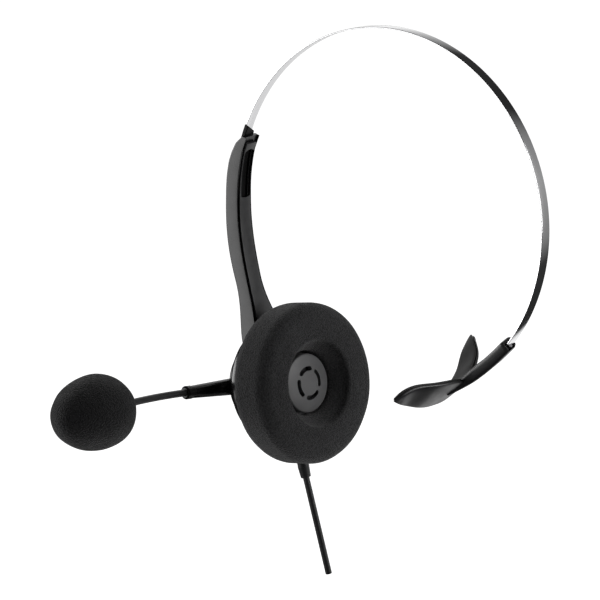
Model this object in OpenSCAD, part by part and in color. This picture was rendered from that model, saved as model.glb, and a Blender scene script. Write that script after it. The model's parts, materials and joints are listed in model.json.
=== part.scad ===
// Single-ear office headset: spring-steel headband, slide-adjusted ear-cup arm, foam ear
// cushion, rotating flexible microphone boom and a swivelling T-bar temple rest.
// Frame: the origin is the centre of the headband's arc. +Z is up, the ear cup is on the
// -X side, the T-bar on the +X side, and the microphone points towards -Y.

/* [Headband] */
// Radius of the headband's arc, at the middle of the strip
band_r = 70; // [64:1:76]
// Width of the steel strip
band_w = 5; // [4.6:0.1:5.2]
// Thickness of the steel strip
band_t = 0.5; // [0.4:0.05:0.6]

/* [Arm] */
// Width of the arm at its top
arm_w = 8.6; // [8.4:0.1:9.2]
// Thickness of the arm in its upper part
arm_t = 6; // [5.8:0.1:6.4]

/* [Ear cup] */
// Radius of the foam ear cushion
cushion_r = 30.5; // [29:0.5:33]
// Radius of the cushion's centre hole at its rim
cushion_hole_r = 16.1; // [15:0.1:18]
// Thickness of the foam cushion
cushion_t = 18.4; // [17.4:0.1:19.4]
// Radius of the grille nose in the middle of the cushion
grille_r = 11.2; // [10.8:0.1:11.6]
// Upward tilt of the ear cup's axis, in degrees
cup_tilt = 8; // [6:0.5:10]
// Forward turn of the ear cup's axis, in degrees
cup_swivel = 7.5; // [5:0.5:10]

/* [Microphone boom] */
// Radius of the rotating hub on the back of the ear cup
hub_r = 15.5; // [15:0.1:16]
// Radius of the flexible boom tube
boom_r = 1.35; // [1.2:0.05:1.5]
// Arc length of the flexible boom tube, up to the microphone housing
boom_len = 46.6; // [42:0.2:50]
// Radius that the boom tube bends to at rest
boom_bend_r = 264; // [220:1:400]
// Length of the foam windscreen
screen_len = 37.6; // [36:0.2:39]
// Radius of the foam windscreen
screen_r = 14.7; // [13:0.1:15]

/* [T-bar] */
// Half of the T-bar pad's span
tbar_half_span = 33.5; // [31:0.5:36]
// Turn of the T-bar about its stem at rest, in degrees
tbar_turn = 13.4; // [0:0.2:16]

/* [Cable] */
// Radius of the cable jacket
cable_r = 1.25; // [1.1:0.05:1.4]
// Distance from the ear cup's axis to the cable's cut end
cable_end = 76.6; // [60:0.1:120]

/* [Hidden] */

$fn = 96;
eps = 0.01;
far = 200;            // longer than any part, for cutting tools
slip = 0.1;           // clearance between parts that move on each other
fit = 0.05;           // clearance between parts that are fastened together

// Colours, close to the record's materials
c_steel = [0.80, 0.80, 0.82];
c_gloss = [0.06, 0.06, 0.065];
c_satin = [0.12, 0.12, 0.125];
c_grey = [0.30, 0.30, 0.31];
c_rubber = [0.10, 0.10, 0.10];
c_foam = [0.11, 0.11, 0.115];
c_brass = [0.78, 0.60, 0.28];
c_board = [0.08, 0.32, 0.16];
c_film = [0.75, 0.75, 0.72];

// Headband: angles run from +X towards +Z in the headband's plane
crown = 78;           // the strip's middle, where it flexes most
crown_gap = 0.4;      // degrees left open at the crown for the flex joint
band_top = 165;       // the strip's end inside the slider tongue
band_low = -42;       // the strip's end inside the T-bar

// Arm
arm_top = 161.3;      // angle of the arm's top face
arm_straight = 181;   // angle below which the arm leaves the headband's circle
arm_in = band_r - 3;  // radius of the arm's inner face
arm_out = arm_in + arm_t;
cover_t = 1;          // thickness of the inner cover
rim = 0.6;            // width of the shell's edge on each side of the cover
cover_inset = 1.1;    // the cover is this much narrower than the arm on each side
slot_w = 5.8;         // the window in the inner cover
slot_top = 165.6;
slot_end = 181.8;

// Slider tongue, riveted to the strip and running in the arm's channel
tongue_r = band_r - 0.35;
tongue_t = 1.7;
tongue_w = 5.6;
tongue_top = 158.4;
tongue_end = 187.5;
channel_end = 191;
rivet_r = 0.8;
rivet_at = 163.5;     // angle of the rivet
spring_t = 0.3;
spring_w = 3.1;

// Ear cup: local frame with +X up, +Y forwards (the boom's side) and +Z towards the head
cup = [-54.3, 0, -72.2];
cushion_back = 6;
cushion_back_r = 5.4;  // rounding of the cushion's back edge
flange_z = 9;       // back of the baffle's flange
flange_t = 1.4;
flange_r = 26;
house_r = 22;
house_back = -2.6;
wall = 1.5;
plate_r = 15.6;
plate_t = 1.6;
spigot_r = 5;
spigot_end = -9;
hub_in = house_back - plate_t - 0.2;
hub_mid = -7;         // plane of the boom, and of the joint between hub and cap
hub_out = -11;
screw_r = 1;
cable_z = 5.7;
cable_turn = 10.4;    // the cable leaves this far behind straight down
relief_r = 2.15;
relief_lip_r = 3;     // lip inside the housing, and the boss round the relief
relief_end = 37.6;
cable_pivot = 39.2;

// Boom: local frame with +Y along the boot and +Z the way the boom bends
boom_lift = 3.4;
boom_roll = 30;
boot_root_r = 2.2;    // the boot's root, gripped between hub and cap
boot_root = 9.8;
boot_end = 38;
tube_start = 40.8;
bend_s = 16;          // arc length from the tube's start to the flex joint
bend_gap = 1.2;       // room beyond the flex joint, so that the tip can swing
wire_r = 0.6;
mic_r = 4.9;
mic_len = 18;
screen_start = boom_len - 9.7;

// T-bar: local frame at the strip's end, with +X down along the neck, +Y forwards and +Z
// towards the head. It swivels about +X.
tbar_at = -38;        // angle of the frame's origin on the headband's circle
tbar_slope = 141;     // direction of the neck, measured like the headband's angles
stem_r = 1.2;
stem_end = 11;
neck_w = 7.6;
neck_t = 4.7;
neck_r = 114;         // the neck's own curve
neck_mid = 15;
neck_z = -0.7;        // how far the neck's middle lies outside the frame's X axis
pad_x = 28.5;         // where the pad's arms meet the neck
pad_tilt = 8.6;       // the pad's upper edge leans towards the head
shell_back = -1.3;    // the shell's outer face, measured from the pad's middle surface
shell_t = 1.4;
pad_t = 1.2;
pad_inset = 0.8;

function on_circle(r, a) = [r * cos(a), r * sin(a)];
function arc(r, a0, a1, n) = [for (i = [0:n]) on_circle(r, a0 + (a1 - a0) * i / n)];
function bezier(p, n) = [for (i = [0:n]) let (t = i / n, s = 1 - t)
  s * s * s * p[0] + 3 * s * s * t * p[1] + 3 * s * t * t * p[2] + t * t * t * p[3]];

// ---------- Frames ----------

// Turns a shape drawn in XY into the XZ plane, so that angles run from +X towards +Z
module upright() rotate([90, 0, 0]) children();

module at_cup()
  translate(cup) rotate([0, 90 - cup_tilt, -cup_swivel]) rotate([0, 0, 180]) children();

module at_boom()
  at_cup() translate([0, 0, hub_mid]) rotate([0, 0, -boom_lift]) rotate([0, -boom_roll, 0]) children();

// Carries a part drawn along +Y to arc length s on the boom tube
module along_boom(s) {
  a = s / boom_bend_r * 180 / PI;
  at_boom()
    translate([0, tube_start + boom_bend_r * sin(a), boom_bend_r * (1 - cos(a))])
      rotate([a, 0, 0]) children();
}

// Turns +Z onto +Y, so that turned parts can be drawn along the boom
module lengthwise() rotate([-90, 0, 0]) children();

module at_tbar()
  rotate([0, -tbar_at, 0]) translate([band_r, 0, 0]) rotate([0, tbar_at + tbar_slope, 0])
    rotate([180 - tbar_turn, 0, 0]) children();

// The cable's frame: +Z runs along the cable, away from the ear cup
module at_cable() at_cup() at_cable_in_cup() children();

module at_cable_in_cup()
  translate([0, 0, cable_z]) rotate([0, 0, 180 + cable_turn]) rotate([0, 90, 0]) children();

// ---------- General shapes ----------

// A stretch of a ring in the XZ plane, with its cross-section drawn as children
module ring_stretch(a0, a1, r = band_r)
  upright() rotate([0, 0, a0]) rotate_extrude(angle = a1 - a0) translate([r, 0]) children();

// A rectangle with rounded short ends, long side along Y
module stadium(t, w) {
  square([t, w - t], center = true);
  for (s = [-1, 1]) translate([0, s * (w - t) / 2]) circle(d = t);
}

module ring(r_out, r_in, z0, z1)
  translate([0, 0, z0]) difference() {
    cylinder(r = r_out, h = z1 - z0);
    translate([0, 0, -1]) cylinder(r = r_in, h = z1 - z0 + 2);
  }

module disc(r, z0, z1) translate([0, 0, z0]) cylinder(r = r, h = z1 - z0);

// A pan-head screw along +Z: its head stands below z = 0 and its shank runs up
module pan_screw(r, len) {
  cylinder(r = r, h = len);
  difference() {
    translate([0, 0, -r * 1.1]) cylinder(r1 = r * 1.7, r2 = r * 1.9, h = r * 1.1);
    for (a = [0, 90]) rotate([0, 0, a])
      translate([0, 0, -r * 1.1]) cube([r * 2, r * 0.4, r * 1.0], center = true);
  }
}

// ---------- Headband ----------

module band_section() stadium(band_t, band_w);

module band_ear_half() color(c_steel)
  difference() {
    ring_stretch(crown + crown_gap / 2, band_top) band_section();
    tongue_rivet_hole();
  }

module band_tip_half() color(c_steel)
  ring_stretch(band_low, crown - crown_gap / 2) band_section();

// Where the rivet passes through the strip and the tongue
module rivet_axis()
  rotate([0, -rivet_at, 0]) translate([tongue_r, 0, 0]) rotate([0, 90, 0]) children();

module tongue_rivet_hole() rivet_axis() cylinder(r = rivet_r + 2 * fit, h = 8, center = true);

module tongue_rivet() color(c_steel)
  rivet_axis() cylinder(r = rivet_r, h = tongue_t, center = true);

module slider_tongue() color(c_gloss)
  difference() {
    ring_stretch(tongue_top, tongue_end, tongue_r) square([tongue_t, tongue_w], center = true);
    // The pocket that holds the strip's end
    ring_stretch(tongue_top - 3, band_top + 0.4) square([band_t + 2 * fit, band_w + 2 * fit], center = true);
    rivet_axis() cylinder(r = rivet_r + fit, h = 8, center = true);
    // Seat of the detent spring
    ring_stretch(174, 184, tongue_r + tongue_t / 2)
      square([2 * spring_t + 2 * fit, spring_w + 2 * fit], center = true);
  }

// A thin leaf that presses on the channel's outer wall and holds the size setting
module detent_spring() color(c_steel)
  ring_stretch(174.2, 183.8, tongue_r + tongue_t / 2 - spring_t / 2)
    square([spring_t, spring_w], center = true);

// ---------- Arm ----------

// Side outlines of the arm, in the XZ plane. d moves the inner face outwards.
function arm_inner_edge(d) = concat(
  [on_circle(arm_in - 0.5 + d, arm_top)],
  arc(arm_in + d, 166, arm_straight, 12),
  bezier([[-arm_in - d, -4], [-66.8 - d, -20], [-62.2 - d, -33], [-59.6 - d, -44.5]], 14),
  [[-58.8 - d, -49], [-57.8 - d, -56], [-57.4 - d, -62]]);

function arm_outer_edge() = concat(
  [[-62, -62]],
  bezier([[-65, -58], [-66.6, -53], [-65.4, -44], [-67.9, -35.3]], 10),
  bezier([[-68.4, -33.6], [-71.9, -22.5], [-arm_out - 0.1, -14], [-arm_out, -2]], 12),
  arc(arm_out, arm_straight, 174, 6),
  [on_circle(arm_out - 0.1, 170.6), on_circle(arm_out - 0.7, 167.4), on_circle(arm_out - 1.7, 164.2),
   on_circle(arm_out - 3.8, arm_top)]);

// The rear side of the arm as [height, half width], flaring to the round back plate
function arm_rear(trim) = concat(
  [[26, arm_w / 2 - trim], [10, arm_w / 2 - trim], [-30, arm_w / 2 + 0.3 - trim]],
  bezier([[-32, arm_w / 2 + 0.35 - trim], [-38, arm_w / 2 + 0.4 - trim],
          [-46, arm_w / 2 + 2.5 - trim], [-62, arm_w / 2 + 10 - trim]], 10));

// The front side, which bulges a little in the middle
function arm_fore(trim) = concat(
  [[26, arm_w / 2 - trim]],
  bezier([[10, arm_w / 2 + 0.1 - trim], [-22, arm_w / 2 + 1 - trim],
          [-30, arm_w / 2 + 0.6 - trim], [-62, arm_w / 2 + 0.6 - trim]], 16));

module arm_front(trim) {
  rear = arm_rear(trim);
  front = arm_fore(trim);
  polygon(concat(
    [for (p = rear) [p[1], p[0]]],
    [for (i = [len(front) - 1:-1:0]) [-front[i][1], front[i][0]]]));
}

// The arm between an inner face moved out by d and the given outer edge
module arm_body(d, outer_edge, trim)
  intersection() {
    upright() linear_extrude(height = 60, center = true)
      polygon(concat(arm_inner_edge(d), outer_edge));
    rotate([90, 0, 90]) linear_extrude(height = far, center = true) arm_front(trim);
  }

// The curved channel that the slider tongue runs in
module channel()
  ring_stretch(arm_top - 3, channel_end, tongue_r)
    square([tongue_t + 2 * slip, tongue_w + 2 * slip], center = true);

module arm_outer_shell() color(c_gloss)
  difference() {
    union() {
      difference() {
        arm_body(0, arm_outer_edge(), 0);
        arm_body(-1, cover_back(cover_t + 0.1), rim);
      }
      at_cup() {
        disc(plate_r, house_back - plate_t, house_back);
        disc(spigot_r, spigot_end, house_back - eps);
      }
    }
    channel();
    window();
    upright() linear_extrude(height = 3.8, center = true) arm_hollow();
    at_cup() {
      // The arm's foot clears the rotating hub and the housing
      ring(hub_r + 0.6, spigot_r, spigot_end - 4, house_back - plate_t);
      disc(house_r + 1, house_back, 30);
      translate([0, 0, spigot_end - 1]) cylinder(r = screw_r + fit, h = 6);
      housing_screw_axes() cylinder(r = screw_r + fit, h = 8, center = true);
    }
  }

// The hollow below the channel, where the arm's shell has a thin wall
module arm_hollow()
  polygon([[-70.4, -17.5], [-69.6, -22], [-67.8, -28], [-65.2, -36], [-62.9, -36], [-65.2, -28],
    [-66.9, -22], [-67.9, -17.5]]);

module arm_inner_cover() color(c_satin)
  difference() {
    arm_body(0, cover_back(cover_t), cover_inset);
    window();
    at_cup() disc(house_r + 1, house_back - plate_t - 1, 20);
  }

// The inner face moved out by d, listed from its foot up
function cover_back(d) =
  let (edge = arm_inner_edge(d)) [for (i = [len(edge) - 1:-1:0]) edge[i]];

// The opening that shows the tongue through the cover
module window() ring_stretch(slot_top, slot_end, arm_in) square([5, slot_w], center = true);

// ---------- Ear cup ----------

module housing_screw_axes()
  for (a = [30, 150, 270]) rotate([0, 0, a]) translate([11, 0, 0]) children();

module speaker_housing() color(c_gloss)
  at_cup() difference() {
    union() {
      rotate_extrude() polygon(concat(
        [[0, house_back]], [[house_r - 3, house_back]],
        corner(house_r - 3, house_back + 3, 3, -90),
        [[house_r, flange_z], [house_r - wall, flange_z], [house_r - wall, house_back + wall],
         [0, house_back + wall]]));
      at_cable_in_cup() translate([0, 0, house_r - 3]) cylinder(r = relief_lip_r, h = 4);
    }
    at_cable_in_cup() translate([0, 0, 10]) cylinder(r = relief_r + fit, h = 20);
    housing_screw_axes() cylinder(r = screw_r + fit, h = 8, center = true);
  }

module housing_screws() color(c_steel)
  at_cup() housing_screw_axes()
    translate([0, 0, house_back + wall + fit]) rotate([180, 0, 0]) pan_screw(screw_r, wall + plate_t - 0.3);

// The flange that the cushion's lip is stretched over, with the speaker behind it
module baffle() color(c_satin)
  at_cup() difference() {
    union() {
      disc(flange_r, flange_z + fit, flange_z + flange_t);
      ring(house_r - wall - fit, house_r - 2 * wall, flange_z - 2, flange_z + 2 * fit);
      ring(14.4, 13.2, flange_z - 2, flange_z + 2 * fit);
    }
    disc(10.8, flange_z - 5, flange_z + 5);
    at_cable_in_cup() translate([0, 0, 14]) cylinder(r = relief_lip_r + fit, h = 12);
    for (a = [0:30:330]) rotate([0, 0, a]) translate([17, 0, 0]) disc(0.7, flange_z - 5, flange_z + 5);
  }

module speaker_frame() color(c_satin)
  at_cup() difference() {
    union() {
      disc(13.1, 6.6, 8.9);
      disc(9, 4.2, 6.7);
    }
    disc(11.8, 7.4, 12);
    disc(7.1, 3, 9);
    for (a = [0:60:300]) rotate([0, 0, a]) translate([10, 0, 0]) disc(0.8, 5, 9);
  }

module speaker_magnet() color(c_steel)
  at_cup() difference() {
    union() {
      disc(7.05, 3.2, 7.2);
      disc(8.6, 2.4, 4.15);
    }
    ring(4.6, 3.2, 4.4, 9);
  }

module voice_coil() color(c_brass) at_cup() ring(4.2, 3.6, 5.2, 8.35);

// A thin domed film with a rolled surround
module speaker_diaphragm() color(c_film)
  at_cup() rotate_extrude() {
    polygon(concat(
      [for (i = [0:10]) [4.2 * i / 10, 9.5 - 1.1 * pow(i / 10, 2)]],
      [for (i = [0:12]) [4.2 + 7.4 * i / 12, 8.4 + 0.9 * sin(180 * i / 12)]],
      [for (i = [12:-1:0]) [4.2 + 7.4 * i / 12, 8.5 + 0.9 * sin(180 * i / 12)]],
      [for (i = [10:-1:0]) [4.2 * i / 10, 9.6 - 1.1 * pow(i / 10, 2)]]));
  }

module terminal_board() color(c_board)
  at_cup() translate([-14.5, 0, house_back + wall + 0.5]) {
    cube([6, 11, 1], center = true);
    for (y = [-3.6:2.4:3.6]) translate([0, y, 0.5]) cylinder(r = 0.6, h = 0.5);
  }

// The nose in the cushion's hole: a low dome with four curved slots
module grille_cap() color(c_grey)
  at_cup() difference() {
    union() {
      ring(15.6, grille_r - wall, flange_z + flange_t + fit, flange_z + flange_t + 1.2);
      rotate_extrude() polygon(concat(
        [[grille_r, flange_z + flange_t + fit], [grille_r, 17.5]],
        [for (i = [0:8]) let (q = 1 - i / 8) [(grille_r - 0.6) * q, 18.1 + 1.3 * (1 - q * q)]],
        [[0, 18.1], [grille_r - wall, 16.9], [grille_r - wall, flange_z + flange_t + fit]]));
    }
    for (a = [15:90:285]) rotate([0, 0, a - 34])
      rotate_extrude(angle = 68) translate([4.7, 10]) square([1.7, 12]);
  }

module grille_mesh() color(c_rubber) at_cup() disc(grille_r - wall - fit, 16.2, 16.7);

// The foam doughnut, with a groove inside that takes the baffle's flange
module ear_cushion() color(c_foam)
  at_cup() difference() {
    top = cushion_back + cushion_t;
    lap = flange_z + flange_t + 0.3;
    rotate_extrude() polygon(concat(
      [[house_r + 0.5, cushion_back]],
      corner(cushion_r - cushion_back_r, cushion_back + cushion_back_r, cushion_back_r, -90),
      corner(cushion_r - 5, top - 5, 5, 0),
      corner(cushion_hole_r + 2.2, top - 2.2, 2.2, 90),
      [[grille_r + 1.2, 17.4], [grille_r + 1.2, lap + 1.5], [16.3, lap + 1.5], [16.3, lap],
       [house_r + 0.5, lap]]));
    disc(flange_r + 0.3, flange_z - 0.1, lap);
    // Room for the cable's strain relief under the cushion's back
    at_cable_in_cup() translate([0, 0, 20]) cylinder(r = relief_lip_r + slip, h = 30);
  }

// A quarter turn of radius r about (x, z), starting at the angle a
function corner(x, z, r, a) = [for (i = [0:6]) [x, z] + on_circle(r, a + 15 * i)];

// ---------- Cable ----------

module cable_relief() color(c_satin)
  at_cable() difference() {
    union() {
      translate([0, 0, house_r - 3.4]) cylinder(r = relief_r, h = relief_end - 4.5 - house_r + 3.4);
      translate([0, 0, relief_end - 4.5]) cylinder(r1 = relief_r + 0.1, r2 = relief_r - 0.2, h = 4.5);
      translate([0, 0, house_r - 4.6]) cylinder(r = relief_lip_r, h = 1.5);
    }
    translate([0, 0, house_r - 6]) cylinder(r = cable_r + fit, h = 30);
  }

module cable_root() color(c_rubber)
  at_cable() translate([0, 0, house_r - 7])
    cylinder(r = cable_r, h = cable_pivot - cable_r - 0.1 - house_r + 7);

module cable_tail() color(c_rubber)
  at_cable() difference() {
    union() {
      translate([0, 0, cable_pivot]) sphere(r = cable_r);
      translate([0, 0, cable_pivot]) cylinder(r = cable_r, h = cable_end - cable_pivot);
    }
    cable_core_axes() translate([0, 0, cable_end - 6]) cylinder(r = 0.32, h = 10);
  }

module cable_core_axes()
  for (a = [45:90:315]) rotate([0, 0, a]) translate([0.55, 0, 0]) children();

module cable_cores() color(c_brass)
  at_cable() cable_core_axes() translate([0, 0, cable_end - 5.9]) cylinder(r = 0.27, h = 5.7);

// ---------- Hub and boom ----------

module friction_washer() color(c_rubber)
  at_cup() ring(9.5, spigot_r + slip, house_back - plate_t - 0.19, house_back - plate_t - 0.01);

module boom_hub() color(c_satin)
  at_cup() difference() {
    union() {
      disc(hub_r, hub_mid + fit, hub_in);
      ring(8, spigot_r + slip, hub_mid - 1.6, hub_mid + 1);
    }
    disc(spigot_r + slip, -20, 0);
    boot_root_space();
  }

// The pocket between hub and cap that grips the boot's root
module boot_root_space()
  translate([0, 0, hub_mid]) rotate([0, 0, -boom_lift]) lengthwise()
    rotate([0, 0, 45]) translate([0, 0, boot_root - 0.3]) cylinder(r = boot_root_r + fit, h = 20);

module hub_cap() color(c_gloss)
  at_cup() difference() {
    rotate_extrude() polygon(concat(
      [[0, hub_mid], [hub_r, hub_mid]],
      [for (i = [1:12]) let (a = 90 * i / 12) [hub_r - 4.5 * (1 - cos(a)), hub_mid - 3 * sin(a)]],
      [[7, hub_out], [0, hub_out]]));
    disc(8.1, hub_mid - 2.9, 0);
    boot_root_space();
  }

module hub_retainer() color(c_steel)
  at_cup() ring(6.8, screw_r + fit, spigot_end - 0.4, spigot_end - 0.02);

module pivot_screw() color(c_steel)
  at_cup() translate([0, 0, spigot_end - 0.42]) {
    cylinder(r = screw_r, h = 5);
    translate([0, 0, -0.4]) cylinder(r = 2.2, h = 0.4);
  }

module boom_boot() color(c_gloss)
  at_boom() lengthwise() difference() {
    union() {
      translate([0, 0, boot_root]) cylinder(r = boot_root_r, h = hub_r + 0.6 - boot_root);
      translate([0, 0, hub_r + 0.35]) cylinder(r1 = 3.2, r2 = 2.35, h = boot_end - hub_r - 0.35);
    }
    translate([0, 0, 5]) cylinder(r = boom_r + fit, h = 50);
  }

module boot_collar() color(c_gloss)
  at_boom() lengthwise() difference() {
    union() {
      translate([0, 0, boot_end + fit]) cylinder(r = 2.55, h = 2.2);
      translate([0, 0, boot_end + 2.2]) cylinder(r1 = 2.55, r2 = 1.8, h = 0.8);
    }
    translate([0, 0, boot_end - 1]) cylinder(r = boom_r + fit, h = 6);
  }

// A round tube that follows the boom's curve between two arc lengths
module boom_arc(r, s0, s1, r_in = 0) {
  a0 = s0 / boom_bend_r * 180 / PI;
  a1 = s1 / boom_bend_r * 180 / PI;
  at_boom() translate([0, tube_start, boom_bend_r]) rotate([0, 90, 0]) rotate([0, 0, a0])
    rotate_extrude(angle = a1 - a0) translate([boom_bend_r, 0]) difference() {
      circle(r = r);
      if (r_in > 0) circle(r = r_in);
    }
}

module boom_tube_root() color(c_rubber) {
  boom_arc(boom_r, 0, bend_s - 0.3, wire_r + fit);
  at_boom() lengthwise() translate([0, 0, 18]) difference() {
    cylinder(r = boom_r, h = tube_start - 18);
    translate([0, 0, -1]) cylinder(r = wire_r + fit, h = 30);
  }
}

module gooseneck_wire_root() color(c_steel) {
  boom_arc(wire_r, 0, bend_s - 0.3);
  at_boom() lengthwise() translate([0, 0, 17]) cylinder(r = wire_r, h = tube_start - 17);
}

module boom_tube_tip() color(c_rubber)
  boom_arc(boom_r, bend_s + bend_gap, boom_len, wire_r + fit);

module gooseneck_wire_tip() color(c_steel) boom_arc(wire_r, bend_s + bend_gap, boom_len - 0.2);

// ---------- Microphone ----------

module at_mic() along_boom(boom_len) lengthwise() children();

module mic_housing() color(c_gloss)
  at_mic() difference() {
    union() {
      cylinder(r1 = 3, r2 = mic_r, h = 3);
      translate([0, 0, 3]) cylinder(r = mic_r, h = mic_len - 3);
    }
    translate([0, 0, 7]) cylinder(r = mic_r - 0.9, h = mic_len);
    translate([0, 0, -1]) cylinder(r = boom_r + fit, h = 4);
    for (z = [11, 14], a = [0:45:135]) translate([0, 0, z]) rotate([0, 0, a]) rotate([90, 0, 0])
      cylinder(r = 0.5, h = 20, center = true);
  }

module mic_capsule() color(c_steel)
  at_mic() {
    translate([0, 0, 8]) cylinder(r = 3, h = 2.7);
    translate([0, 0, 10.65]) cylinder(r = 2.6, h = 0.3);
    translate([0, 0, 7.05]) cylinder(r = 3.9, h = 1);
  }

module mic_mesh() color(c_rubber)
  at_mic() translate([0, 0, mic_len - 1.4]) cylinder(r = mic_r - 0.9 - fit, h = 0.6);

// An egg-shaped foam ball, blunt at the boom's side, with a bore for the housing
module windscreen() color(c_foam)
  difference() {
    windscreen_egg();
    at_mic() translate([0, 0, -0.1]) cylinder(r = mic_r + fit, h = mic_len + 0.3);
  }

module windscreen_egg()
  along_boom(screen_start) lengthwise() difference() {
    rotate_extrude() polygon(concat(
      [for (i = [0:30]) let (u = i / 30) egg(u)],
      [[0, screen_len]], [[0, 0]]));
    translate([0, 0, -3]) cylinder(r = boom_r + 0.4, h = boom_len - screen_start + 4);
  }

function egg(u) = let (a = 180 * u, z = (1 - cos(a)) / 2)
  [screen_r * sin(a) * (1 + 0.16 * (1 - 2 * z) - 0.04 * sin(a)), screen_len * z];

// ---------- T-bar ----------

// A pin along the neck, slotted to grip the strip's end, with a head that keeps it in the neck
module tbar_stem() color(c_steel)
  difference() {
    at_tbar() translate([0, 0, -0.2]) rotate([0, 90, 0]) {
      translate([0, 0, 1.4]) cylinder(r = stem_r, h = stem_end - 1.4);
      translate([0, 0, stem_end - eps]) cylinder(r = stem_r + 0.5, h = 0.8);
    }
    ring_stretch(band_low - 0.3, tbar_at) square([band_t + 2 * fit, 2 * band_w], center = true);
  }

// The bore that the stem turns in, and the mouth that lets the strip turn with it
module tbar_stem_space() {
  translate([0, 0, -0.2]) rotate([0, 90, 0]) {
    cylinder(r = stem_r + slip / 2, h = stem_end + 2);
    translate([0, 0, stem_end - 0.1]) cylinder(r = stem_r + 0.6, h = 1.1);
  }
  translate([1, 0, -0.5]) cube([9.4, band_w + 0.8, 3.2], center = true);
}

// The neck, with rounded long edges
module tbar_neck(grow = 0)
  translate([neck_mid, 0, neck_r + neck_z])
    ring_stretch(-96.8, -82, neck_r) {
      square([neck_t - 2 + 2 * grow, neck_w + 2 * grow], center = true);
      square([neck_t + 2 * grow, neck_w - 2 + 2 * grow], center = true);
      for (x = [-1, 1], y = [-1, 1])
        translate([x * (neck_t / 2 - 1), y * (neck_w / 2 - 1)]) circle(r = 1 + grow);
    }

// Outline of one arm of the pad: distance down from pad_x, then distance across
function pad_side() = concat(
  bezier([[-2.6, 0], [-3.9, 8], [-3.2, 18], [1.2, tbar_half_span - 7.5]], 12),
  bezier([[1.5, tbar_half_span - 6.9], [2.6, tbar_half_span - 4.7], [4.4, tbar_half_span - 1.9],
          [6.4, tbar_half_span]], 8),
  bezier([[6.9, tbar_half_span], [8.4, tbar_half_span - 4], [13.2, 21], [12.3, 0]], 14));

module pad_outline(inset = 0)
  offset(delta = -inset) polygon(concat(
    pad_side(),
    [for (i = [len(pad_side()) - 2:-1:1]) [pad_side()[i][0], -pad_side()[i][1]]]));

// The pad's curve round the head: distance across, then height
function pad_curve() = bezier([[0, 0], [12, 1.6], [20, 7.6], [tbar_half_span + 3, 11.6]], 24);

function pad_section(z0, z1) =
  let (c = pad_curve(), n = len(c) - 1)
    concat(
      [for (i = [n:-1:1]) [-c[i][0], c[i][1] + z0]], [for (i = [0:n]) [c[i][0], c[i][1] + z0]],
      [for (i = [n:-1:0]) [c[i][0], c[i][1] + z1]], [for (i = [1:n]) [-c[i][0], c[i][1] + z1]]);

// A plate that curves round the head, between two heights above the pad's middle surface
module pad_plate(z0, z1, inset)
  intersection() {
    translate([pad_x + 5, 0, 0]) rotate([0, pad_tilt, 0]) rotate([90, 0, 90])
      linear_extrude(height = 60, center = true) polygon(pad_section(z0, z1));
    translate([pad_x, 0, -8]) linear_extrude(height = 40) pad_outline(inset);
  }

module tbar_shell() color(c_gloss)
  at_tbar() difference() {
    union() {
      tbar_neck();
      pad_plate(shell_back, shell_back + shell_t, 0);
    }
    tbar_stem_space();
  }

module tbar_pad() color(c_rubber)
  at_tbar() difference() {
    pad_plate(shell_back + shell_t + 0.02, shell_back + shell_t + 0.02 + pad_t, pad_inset);
    tbar_neck(0.1);
  }

band_ear_half();
band_tip_half();
slider_tongue();
tongue_rivet();
detent_spring();
tbar_stem();
tbar_shell();
tbar_pad();
arm_outer_shell();
arm_inner_cover();
speaker_housing();
housing_screws();
baffle();
speaker_frame();
speaker_magnet();
voice_coil();
speaker_diaphragm();
terminal_board();
grille_cap();
grille_mesh();
ear_cushion();
cable_relief();
cable_root();
friction_washer();
hub_retainer();
pivot_screw();
boom_hub();
hub_cap();
boom_boot();
boot_collar();
boom_tube_root();
gooseneck_wire_root();
boom_tube_tip();
gooseneck_wire_tip();
mic_housing();
mic_capsule();
mic_mesh();
windscreen();
cable_tail();
cable_cores();
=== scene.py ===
import json
from bisect import bisect_right
from math import cos, pi, radians, sin, sqrt

import bmesh
import bpy
from mathutils import Matrix, Vector, noise


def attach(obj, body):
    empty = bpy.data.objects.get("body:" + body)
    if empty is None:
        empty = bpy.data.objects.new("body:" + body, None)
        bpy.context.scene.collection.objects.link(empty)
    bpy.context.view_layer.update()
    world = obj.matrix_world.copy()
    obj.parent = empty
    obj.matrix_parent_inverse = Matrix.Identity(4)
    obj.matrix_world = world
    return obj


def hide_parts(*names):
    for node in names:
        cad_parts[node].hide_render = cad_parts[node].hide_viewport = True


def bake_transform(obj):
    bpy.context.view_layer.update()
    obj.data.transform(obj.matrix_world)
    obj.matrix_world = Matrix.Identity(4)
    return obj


# An office headset. Shapes are written in millimetres in the row frame: the origin is the centre
# of the headband's arc, +Z up, the ear cup on -X, the T-bar on +X and the microphone towards -Y.
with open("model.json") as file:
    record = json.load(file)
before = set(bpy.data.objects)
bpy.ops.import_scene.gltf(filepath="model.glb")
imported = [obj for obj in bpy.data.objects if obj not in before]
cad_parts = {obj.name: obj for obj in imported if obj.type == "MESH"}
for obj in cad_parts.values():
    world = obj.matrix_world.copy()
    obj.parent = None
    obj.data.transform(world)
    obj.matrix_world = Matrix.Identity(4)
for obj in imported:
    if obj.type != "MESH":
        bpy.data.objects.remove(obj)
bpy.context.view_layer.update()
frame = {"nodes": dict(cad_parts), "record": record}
MM = 0.001


# ---------- Frames, the same as in the part's source ----------

def turn(angle, axis):
    return Matrix.Rotation(radians(angle), 4, axis)


def shift(x, y, z):
    return Matrix.Translation((x, y, z))


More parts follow.
